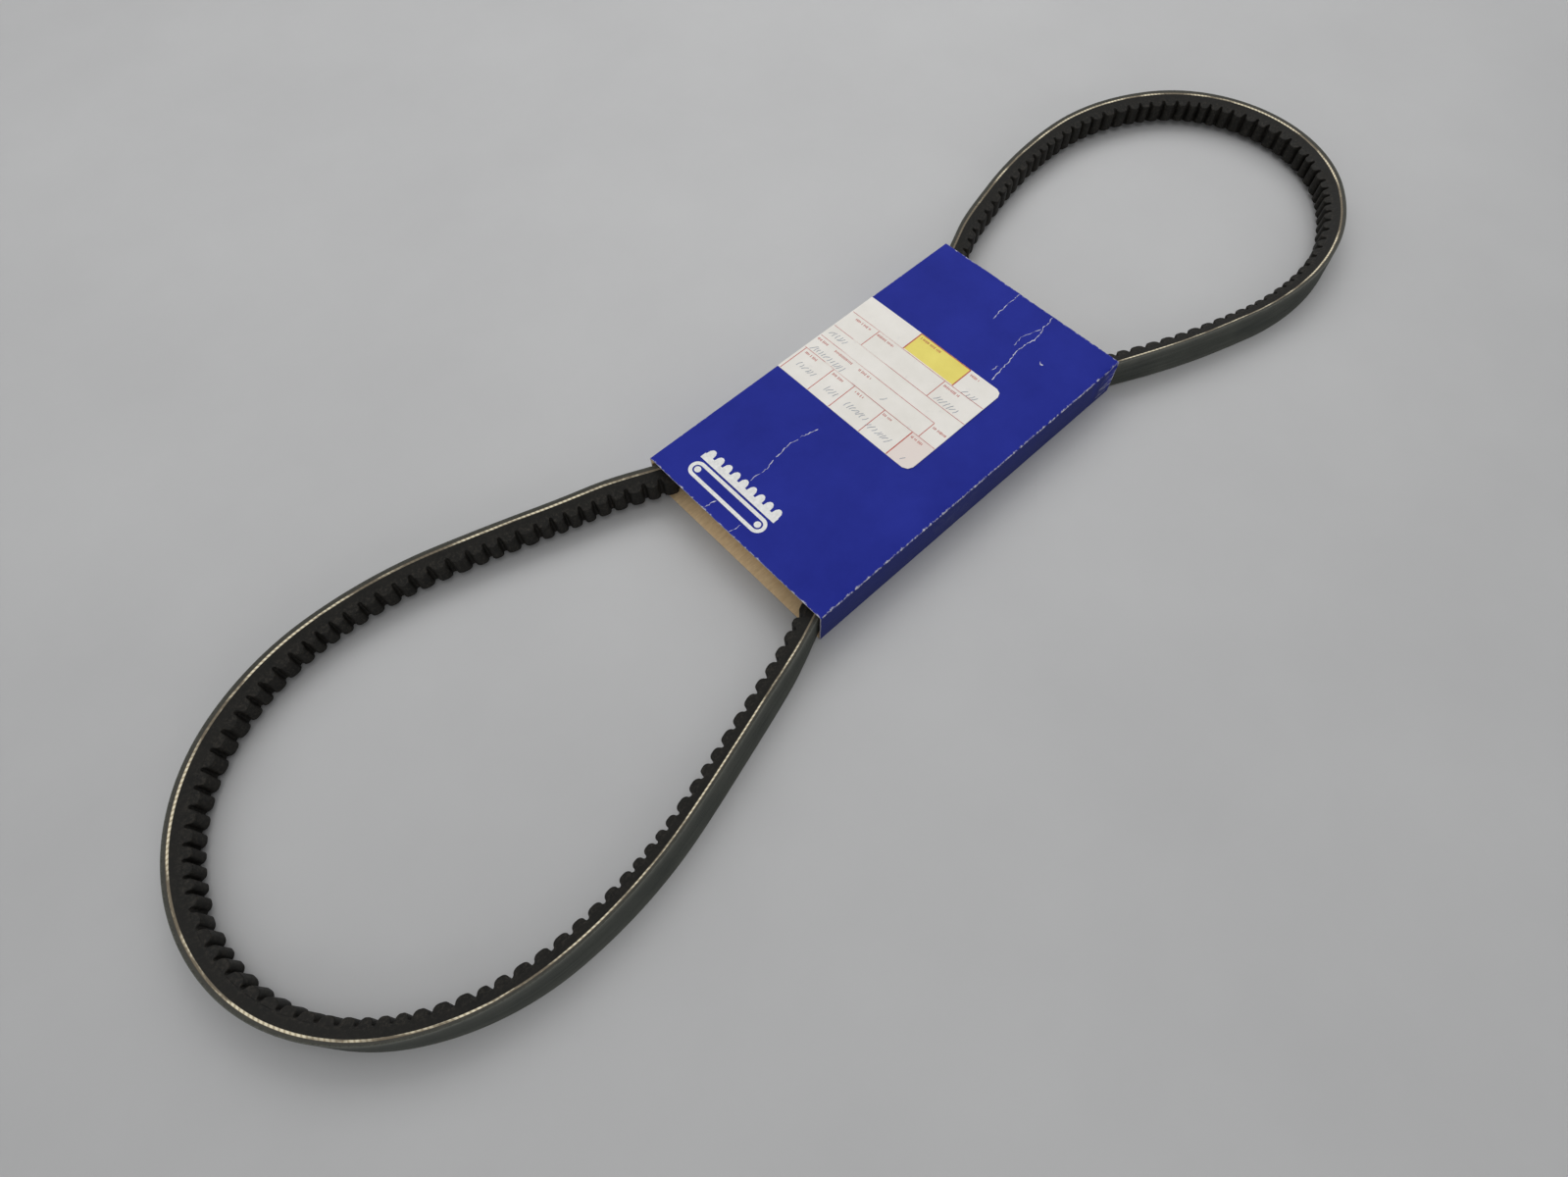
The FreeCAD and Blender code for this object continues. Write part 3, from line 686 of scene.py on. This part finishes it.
thickness = flap.modifiers.new("card", "SOLIDIFY")
thickness.thickness = CARD
thickness.offset = -1
thickness.material_offset_rim = 1
bpy.ops.object.modifier_apply(modifier=thickness.name)
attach(flap, "sleeve")
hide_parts("sleeve_glue_flap")

# ---- Printed mark and creases -------------------------------------------------------------------
# A plain white printed mark near the big-loop mouth: a belt round two pulleys, over a strip of cogs.
# White cracks in the blue print run in from the mouths, where the card was creased. All are ink-thin.
PRINT_THICKNESS = 0.03 * MM


def card_top(x, y):
    return SLEEVE[2] + card_lift(x, y) + 0.005 * MM


def start_flat(name):
    """An empty mesh, open for editing, to which flat printed shapes are added."""
    bpy.ops.object.select_all(action="DESELECT")
    bpy.ops.mesh.primitive_plane_add(size=1)
    piece = bpy.context.object
    piece.name = name
    bpy.ops.object.mode_set(mode="EDIT")
    bpy.ops.mesh.select_all(action="SELECT")
    bpy.ops.mesh.delete(type="VERT")
    return piece


def add_outline(piece, outline):
    """Adds one filled shape: a primitive with as many corners as the outline, moved to fit it."""
    bpy.ops.mesh.select_all(action="DESELECT")
    bpy.ops.mesh.primitive_circle_add(vertices=len(outline), radius=1, fill_type="NGON")
    mesh = bmesh.from_edit_mesh(piece.data)
    corners = [vertex for vertex in mesh.verts if vertex.select]
    face = corners[0].link_faces[0]
    for loop, (x, y) in zip(face.loops, outline):
        loop.vert.co = (x * MM, y * MM, 0)
    bmesh.update_edit_mesh(piece.data)


def ribbon(points, widths):
    """The outline of a thin line through these points, in millimetres."""
    left, right = [], []
    for k, (x, y) in enumerate(points):
        ahead = points[min(k + 1, len(points) - 1)]
        behind = points[max(k - 1, 0)]
        along = Vector((ahead[0] - behind[0], ahead[1] - behind[1])).normalized()
        half = (widths[k] if hasattr(widths, "__len__") else widths) / 2
        left.append((x - along.y * half, y + along.x * half))
        right.append((x + along.y * half, y - along.x * half))
    return left + right[::-1]


def finish_flat(piece, surface, material):
    """Lays the printed shapes on a surface, gives them an ink's thickness and fixes them to the sleeve."""
    bpy.ops.mesh.select_all(action="SELECT")
    bpy.ops.mesh.normals_make_consistent(inside=False)
    bpy.ops.object.mode_set(mode="OBJECT")
    for polygon in piece.data.polygons:
        if polygon.normal.z < 0:
            polygon.flip()
    for vertex in piece.data.vertices:
        vertex.co.z = surface(vertex.co.x, vertex.co.y)
    thickness = piece.modifiers.new("ink", "SOLIDIFY")
    thickness.thickness = PRINT_THICKNESS
    thickness.offset = 1
    bpy.ops.object.modifier_apply(modifier=thickness.name)
    piece.data.materials.append(material)
    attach(piece, "sleeve")


def ink(name, dark, light, roughness):
    """A printed colour that is a little uneven."""
    made, tree, shader = new_material(name)
    coordinates = node(tree, "TexCoord").outputs["Object"]
    patchy = noise(tree, coordinates, 700.0, 4.0)
    tree.links.new(ramp(tree, patchy, (0.35, dark), (0.65, light)), shader.inputs["Base Color"])
    tree.links.new(ramp(tree, patchy, (0.3, roughness), (0.7, roughness + 0.15)), shader.inputs["Roughness"])
    return made


white_ink = ink("white print", (0.66, 0.66, 0.64), (0.80, 0.80, 0.78), 0.4)
mark = start_flat("printed_belt_mark")


def arc_points(centre, radius, start, end, count):
    angles = np.radians(np.linspace(start, end, count))
    return [(centre[0] + radius * math.cos(a), centre[1] + radius * math.sin(a)) for a in angles]


MARK_X = -71.0
NEAR_PULLEY_Y = -3.3
FAR_PULLEY_Y = 29.4
outer = (arc_points((MARK_X, NEAR_PULLEY_Y), 3.5, 180, 360, 14)
         + arc_points((MARK_X, FAR_PULLEY_Y), 3.5, 0, 180, 14))
inner = (arc_points((MARK_X, NEAR_PULLEY_Y), 2.0, 180, 360, 14)
         + arc_points((MARK_X, FAR_PULLEY_Y), 2.0, 0, 180, 14))
for k in range(len(outer)):
    after = (k + 1) % len(outer)
    add_outline(mark, [outer[k], outer[after], inner[after], inner[k]])
for pulley_y in (NEAR_PULLEY_Y, FAR_PULLEY_Y):
    add_outline(mark, arc_points((MARK_X, pulley_y), 1.35, 0, 345, 20))
add_outline(mark, [(-66.6, -6.7), (-64.0, -6.7), (-64.0, 33.0), (-66.6, 33.0)])
for k in range(9):
    foot = -6.5 + k * 4.45
    tooth = [(-64.05, foot), (-62.2, foot + 0.25), (-61.2, foot + 0.9), (-60.9, foot + 1.75),
             (-61.2, foot + 2.6), (-62.2, foot + 3.25), (-64.05, foot + 3.5)]
    add_outline(mark, tooth)
finish_flat(mark, card_top, white_ink)

crease_material = ink("white card showing through", (0.42, 0.42, 0.55), (0.66, 0.66, 0.72), 0.8)
creases = start_flat("creases_in_print")
jitter = random.Random(11)


def crack(points, width):
    """A jagged line through the given points, thicker and thinner, with a few breaks."""
    run_points = []
    for (x0, y0), (x1, y1) in zip(points, points[1:]):
        count = max(2, round(math.hypot(x1 - x0, y1 - y0) / 0.9))
        for k in range(count):
            t = k / count
            run_points.append((x0 + (x1 - x0) * t + jitter.uniform(-0.22, 0.22),
                               y0 + (y1 - y0) * t + jitter.uniform(-0.3, 0.3)))
    run_points.append(points[-1])
    first = 0
    while first < len(run_points) - 2:
        last = min(first + jitter.randint(3, 9), len(run_points) - 1)
        stretch = run_points[first:last + 1]
        if len(stretch) > 1:
            widths = [width * jitter.uniform(0.35, 1.25) for _ in stretch]
            widths[0] = widths[-1] = width * 0.15
            add_outline(creases, ribbon(stretch, widths))
        first = last + (1 if jitter.random() < 0.3 else 0)


crack([(-26.4, 12.0), (-33.1, 13.8), (-38.2, 14.5), (-43.2, 14.0), (-48.7, 13.3), (-52.3, 12.1),
       (-58.2, 12.6), (-60.5, 12.4)], 0.32)
crack([(-74.9, 14.3), (-77.0, 14.9), (-80.3, 15.6)], 0.42)
crack([(-75.2, 0.4), (-80.3, 1.7)], 0.22)
crack([(80.2, 4.4), (75.0, 4.6), (70.1, 4.2), (66.0, 3.9), (62.3, 3.2)], 0.28)
crack([(80.2, -12.6), (77.0, -13.4), (73.5, -13.5), (70.5, -14.6), (66.2, -15.4), (61.5, -14.6),
       (56.9, -14.4), (52.0, -15.2), (47.5, -15.9), (42.0, -16.5), (37.0, -17.4)], 0.38)
crack([(72.0, -13.4), (68.5, -12.6), (64.8, -11.2), (61.0, -11.0), (57.6, -11.6)], 0.24)
crack([(44.9, -14.4), (41.8, -13.8)], 0.24)
crack([(58.4, -24.2), (57.4, -25.0), (57.9, -26.0)], 0.5)
finish_flat(creases, card_top, crease_material)

# ---- Paper label --------------------------------------------------------------------------------
# A white paper parts label with a pink and a yellow box, stuck across the top panel and folded down over
# the far wall. It has two rounded corners. The entries on it are made-up strokes that say nothing.
LABEL = {"start": -16.5, "end": 36.0, "reach": -24.5, "drop": 9.0}
PAPER = 0.12 * MM
bpy.ops.object.select_all(action="DESELECT")
bpy.ops.mesh.primitive_plane_add(size=1)
label = bpy.context.object
label.name = "paper_label"
for vertex in label.data.vertices:
    vertex.co.x = (LABEL["end"] if vertex.co.x > 0 else LABEL["start"]) * MM
    vertex.co.y = 45.0 * MM if vertex.co.y > 0 else LABEL["reach"] * MM
    vertex.co.z = SLEEVE[2]
bpy.ops.object.mode_set(mode="EDIT")
for push in ((0, 0.35 * MM, -0.12 * MM), (0, 0.15 * MM, -0.4 * MM), (0, 0, (0.6 - LABEL["drop"]) * MM)):
    farthest = max(v.co.y - v.co.z for v in bmesh.from_edit_mesh(label.data).verts)
    select_edges(label, lambda a, b: min(a.y - a.z, b.y - b.z) > farthest - 1e-6)
    bpy.ops.mesh.extrude_region_move(TRANSFORM_OT_translate={"value": push})
select_edges(label, lambda a, b: abs(a.y - b.y) > 50 * MM)
bpy.ops.mesh.subdivide(number_cuts=23)
select_edges(label, lambda a, b: abs(a.x - b.x) > 50 * MM)
bpy.ops.mesh.subdivide(number_cuts=17)
bpy.ops.object.mode_set(mode="OBJECT")
ROUND = 3.2 * MM


def paper_underside(x, y):
    """The label lies on the card, and its free edge lifts a little."""
    curl = max(0.0, 1 - (y - LABEL["reach"] * MM) / (8 * MM)) ** 2 * 0.25 * MM
    return SLEEVE[2] + card_lift(x, y) + curl * (0.4 + 0.6 * math.sin(x * 70) ** 2)


def paper_top(x, y):
    return paper_underside(x, y) + PAPER + 0.01 * MM


for vertex in label.data.vertices:
    x, y, z = vertex.co
    for corner_x, way in ((LABEL["start"] * MM, 1), (LABEL["end"] * MM, -1)):
        cx, cy = corner_x + way * ROUND, LABEL["reach"] * MM + ROUND
        if (x - cx) * way < 0 and y < cy:
            away = math.hypot(x - cx, y - cy)
            square = max(abs(x - cx), abs(y - cy))
            vertex.co.x = cx + (x - cx) * square / away
            vertex.co.y = cy + (y - cy) * square / away
    if y < 44.9 * MM:
        vertex.co.z = paper_underside(vertex.co.x, vertex.co.y)
thickness = label.modifiers.new("paper", "SOLIDIFY")
thickness.thickness = PAPER
thickness.offset = 1
bpy.ops.object.modifier_apply(modifier=thickness.name)

paper_material, tree, shader = new_material("white label paper")
coordinates = node(tree, "TexCoord").outputs["Object"]
place = node(tree, "SeparateXYZ", Vector=coordinates)
ageing = noise(tree, coordinates, 70.0, 5.0)
paper = ramp(tree, ageing, (0.3, (0.75, 0.72, 0.66)), (0.7, (0.83, 0.80, 0.75)))
smudges = ramp(tree, noise(tree, coordinates, 240.0, 5.0, 0.7), (0.62, 0.0), (0.8, 0.35))
paper = blend_colours(tree, smudges, paper, (0.42, 0.42, 0.44))
pink_box = box_mask(tree, place, (-17 * MM, -26 * MM, None), (-2.0 * MM, -13.3 * MM, None), 0.15 * MM)
paper = blend_colours(tree, maths(tree, "MULTIPLY", pink_box, 0.8), paper, (0.76, 0.66, 0.61))
yellow_box = box_mask(tree, place, (25.2 * MM, -8.4 * MM, None), (37 * MM, 17.3 * MM, None), 0.15 * MM)
yellow = ramp(tree, ageing, (0.3, (0.74, 0.62, 0.11)), (0.7, (0.84, 0.73, 0.17)))
tree.links.new(blend_colours(tree, yellow_box, paper, yellow), shader.inputs["Base Color"])
tree.links.new(ramp(tree, ageing, (0.3, 0.6), (0.7, 0.78)), shader.inputs["Roughness"])
tooth_of_paper = noise(tree, coordinates, 1500.0, 3.0)
relief(tree, shader, tooth_of_paper, 0.2, 0.0001)
label.data.materials.append(paper_material)
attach(label, "sleeve")
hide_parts("paper_label")

rose_ink = ink("rose ruling", (0.50, 0.21, 0.19), (0.66, 0.36, 0.33), 0.7)
red_ink = ink("red ruling", (0.42, 0.075, 0.055), (0.55, 0.12, 0.09), 0.7)
pen_ink = ink("grey pen", (0.20, 0.22, 0.27), (0.36, 0.38, 0.43), 0.7)

# Long pale rows run across the label, and red dividers stand between two rows or round a box.
rows = start_flat("label_rows")
for x, low, high in ((24.7, -24.3, 44.8), (14.2, -24.3, 44.8), (6.8, -16.2, 44.8), (-2.0, -24.3, 44.8)):
    count = 12
    add_outline(rows, ribbon([(x, low + (high - low) * k / count) for k in range(count + 1)], 0.3))
finish_flat(rows, paper_top, rose_ink)
dividers = start_flat("label_dividers")
for low, high, y, width in ((14.3, 24.6, 30.0, 0.3), (14.3, 24.6, -5.2, 0.3), (-2.0, 6.7, -16.2, 0.3),
                            (-16.3, -2.1, 44.0, 0.3), (-16.3, -2.1, 28.5, 0.3), (-16.3, -2.1, 17.1, 0.3),
                            (-16.3, -2.1, 1.0, 0.3), (-16.3, -2.1, -13.3, 0.45), (25.0, 35.8, -8.5, 0.5),
                            (25.0, 35.8, 17.4, 0.5)):
    count = 4
    add_outline(dividers, ribbon([(low + (high - low) * k / count, y) for k in range(count + 1)], width))
add_outline(dividers, ribbon([(35.75, -8.4 + 25.7 * k / 6) for k in range(7)], 0.35))
finish_flat(dividers, paper_top, red_ink)

# Captions are rows of small upright strokes, and entries are slanted pen strokes. Neither can be read.
captions = start_flat("label_captions")
strokes = random.Random(5)
for x, first, last in ((22.6, 41.0, 33.0), (22.8, 29.3, 20.4), (34.0, 16.0, 6.0), (22.8, -6.4, -14.2),
                       (34.0, -10.0, -14.5), (4.8, 44.5, 38.3), (4.8, 34.9, 24.9), (4.8, 21.8, 14.8),
                       (5.0, -17.2, -23.6), (-3.9, 42.5, 36.7), (-3.9, 27.3, 22.0), (-3.9, 15.0, 11.0),
                       (-3.9, 0.2, -4.8), (-3.9, -14.4, -20.5)):
    y = first
    while y > last:
        tall = strokes.uniform(0.7, 1.3)
        low, high, next_y = x - tall / 2, x + tall / 2, y - 0.26
        add_outline(captions, [(low, y), (high, y), (high, next_y), (low, next_y)])
        y -= strokes.choice((0.5, 0.55, 0.62, 1.1))
finish_flat(captions, paper_top, red_ink)
pen = start_flat("label_pen_strokes")
for x, first, last in ((25.8, -14.0, -19.5), (16.4, -8.5, -18.0), (0.0, 42.0, 25.0), (-9.8, 40.0, 31.5),
                       (-10.6, 23.8, 19.0), (-10.4, 13.0, 3.2), (10.5, 42.5, 33.5), (-11.6, 0.5, -10.8),
                       (-13.5, -19.0, -20.5), (1.4, 5.2, 4.0)):
    y = first
    while y > last:
        tall, slant = strokes.uniform(1.8, 3.2), strokes.uniform(0.2, 1.0)
        bow = strokes.uniform(-0.4, 0.4)
        stroke = [(x - tall / 2, y + slant), (x, y + bow), (x + tall / 2, y - slant)]
        add_outline(pen, ribbon(stroke, 0.27))
        y -= strokes.uniform(1.0, 1.9)
finish_flat(pen, paper_top, pen_ink)

# ---- Floor --------------------------------------------------------------------------------------
# A plain pale grey bench top, with a faint unevenness. It isn't part of the object.
bpy.ops.object.select_all(action="DESELECT")
bpy.ops.mesh.primitive_plane_add(size=6, location=(0, 0, -0.05 * MM))
floor = bpy.context.object
floor.name = "bench_top"
bench_material, tree, shader = new_material("pale grey bench top")
coordinates = node(tree, "TexCoord").outputs["Object"]
cloudy = noise(tree, coordinates, 9.0, 6.0)
bench = ramp(tree, cloudy, (0.3, (0.445, 0.445, 0.447)), (0.7, (0.478, 0.479, 0.480)))
tree.links.new(bench, shader.inputs["Base Color"])
shader.inputs["Roughness"].default_value = 0.5
fine = noise(tree, coordinates, 900.0, 3.0)
relief(tree, shader, fine, 0.05, 0.0002)
floor.data.materials.append(bench_material)

# ---- Light --------------------------------------------------------------------------------------
# A soft ceiling light, broad lights at the right and behind, a small lamp beyond the sleeve, a low fill from
# the viewer's side, and a pale room all round.
world = bpy.data.worlds.new("pale room")
bpy.context.scene.world = world
world.use_nodes = True
world.node_tree.nodes["Background"].inputs["Color"].default_value = (0.98, 0.99, 1.0, 1)
world.node_tree.nodes["Background"].inputs["Strength"].default_value = 0.36


def soft_light(name, place, size, power):
    lamp = bpy.data.lights.new(name, "AREA")
    lamp.size = size
    lamp.energy = power
    holder = bpy.data.objects.new(name, lamp)
    bpy.context.collection.objects.link(holder)
    holder.location = place
    holder.rotation_euler = Vector(place).to_track_quat("Z", "Y").to_euler()


soft_light("ceiling", (0, 0, 1.5), 1.5, 4.4)
soft_light("right", (0.9, 0.4, 1.0), 1.0, 4.4)
soft_light("behind", (-0.3, 0.9, 0.8), 0.8, 1.7)
soft_light("lamp", (0.25, 0.5, 0.7), 0.5, 1.6)
soft_light("fill", (-0.6, -1.1, 0.35), 0.8, 3.4)
bpy.context.scene.view_settings.view_transform = "Standard"

# ---- Camera -------------------------------------------------------------------------------------
# A wide-angle view from above the big loop's side, looking down and along the sleeve.
eye = bpy.data.cameras.new("camera")
eye.sensor_width = 36.0
eye.lens = 20.71
camera = bpy.data.objects.new("camera", eye)
bpy.context.collection.objects.link(camera)
camera.rotation_mode = "QUATERNION"
camera.location = (-0.1750, -0.1364, 0.2884)
turn = (Matrix.Rotation(math.radians(49.12 - 90), 3, "Z") @ Matrix.Rotation(math.radians(90 - 62.29), 3, "X")
        @ Matrix.Rotation(math.radians(-2.25), 3, "Z"))
camera.rotation_quaternion = turn.to_quaternion()
eye.clip_start = 0.01
bpy.context.scene.camera = camera
